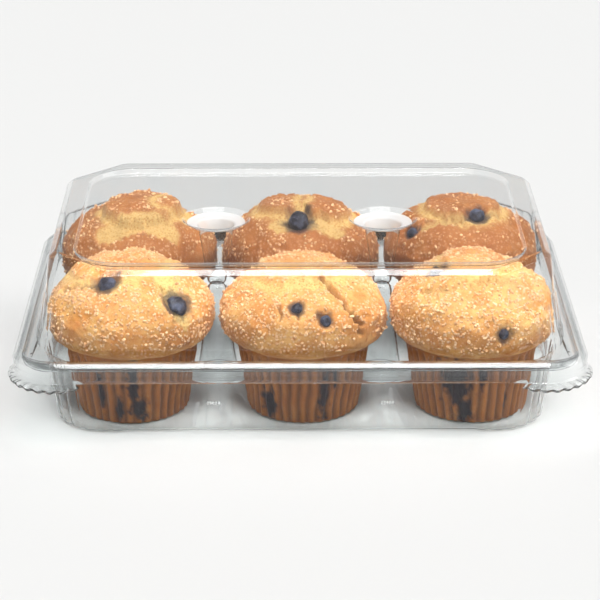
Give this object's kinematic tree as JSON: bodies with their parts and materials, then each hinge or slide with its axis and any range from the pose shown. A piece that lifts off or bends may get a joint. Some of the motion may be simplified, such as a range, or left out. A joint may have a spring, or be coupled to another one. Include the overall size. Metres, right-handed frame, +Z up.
{
  "type": "hinged-lid muffin container",
  "caption": "Clear plastic clamshell with a domed lid on a rear living hinge, holding jumbo blueberry muffins in two rows around two hollow posts.",
  "frame": {"origin": "middle of the tray's flat underside, on the surface it stands on", "axes": "+X to the right along the long side, -Y to the front with the two finger tabs, +Y to the hinge, +Z up"},
  "size_m": [0.334, 0.2416, 0.102],
  "materials": {
    "clear_pet": "gloss",
    "muffin": "matte",
    "blueberry": "satin"
  },
  "bodies": {
    "tray": {"tray_floor": "clear_pet", "tray_walls": "clear_pet", "tray_rim": "clear_pet", "hinge": "clear_pet"},
    "lid": {"lid_rim": "clear_pet", "lid_dome": "clear_pet", "lid_top": "clear_pet"},
    "muffin_front_left": {"muffin_front_left": "muffin", "blueberries_front_left": "blueberry"},
    "muffin_front_middle": {"muffin_front_middle": "muffin", "blueberries_front_middle": "blueberry"},
    "muffin_front_right": {"muffin_front_right": "muffin", "blueberries_front_right": "blueberry"},
    "muffin_back_left": {"muffin_back_left": "muffin", "blueberries_back_left": "blueberry"},
    "muffin_back_middle": {"muffin_back_middle": "muffin", "blueberries_back_middle": "blueberry"},
    "muffin_back_right": {"muffin_back_right": "muffin", "blueberries_back_right": "blueberry"}
  },
  "joints": [
    {"name": "lid_hinge", "type": "hinge", "parent": "tray", "child": "lid", "pos_m": [0, 0.1175, 0.05145], "axis": [-1, 0, 0], "range_deg": [0, 180]},
    {"name": "lift_front_left", "type": "slide", "parent": "tray", "child": "muffin_front_left", "axis": [0, 0, 1], "range_m": [0, 0.003]},
    {"name": "lift_front_middle", "type": "slide", "parent": "tray", "child": "muffin_front_middle", "axis": [0, 0, 1], "range_m": [0, 0.003]},
    {"name": "lift_front_right", "type": "slide", "parent": "tray", "child": "muffin_front_right", "axis": [0, 0, 1], "range_m": [0, 0.003]},
    {"name": "lift_back_left", "type": "slide", "parent": "tray", "child": "muffin_back_left", "axis": [0, 0, 1], "range_m": [0, 0.003]},
    {"name": "lift_back_middle", "type": "slide", "parent": "tray", "child": "muffin_back_middle", "axis": [0, 0, 1], "range_m": [0, 0.003]},
    {"name": "lift_back_right", "type": "slide", "parent": "tray", "child": "muffin_back_right", "axis": [0, 0, 1], "range_m": [0, 0.003]}
  ]
}
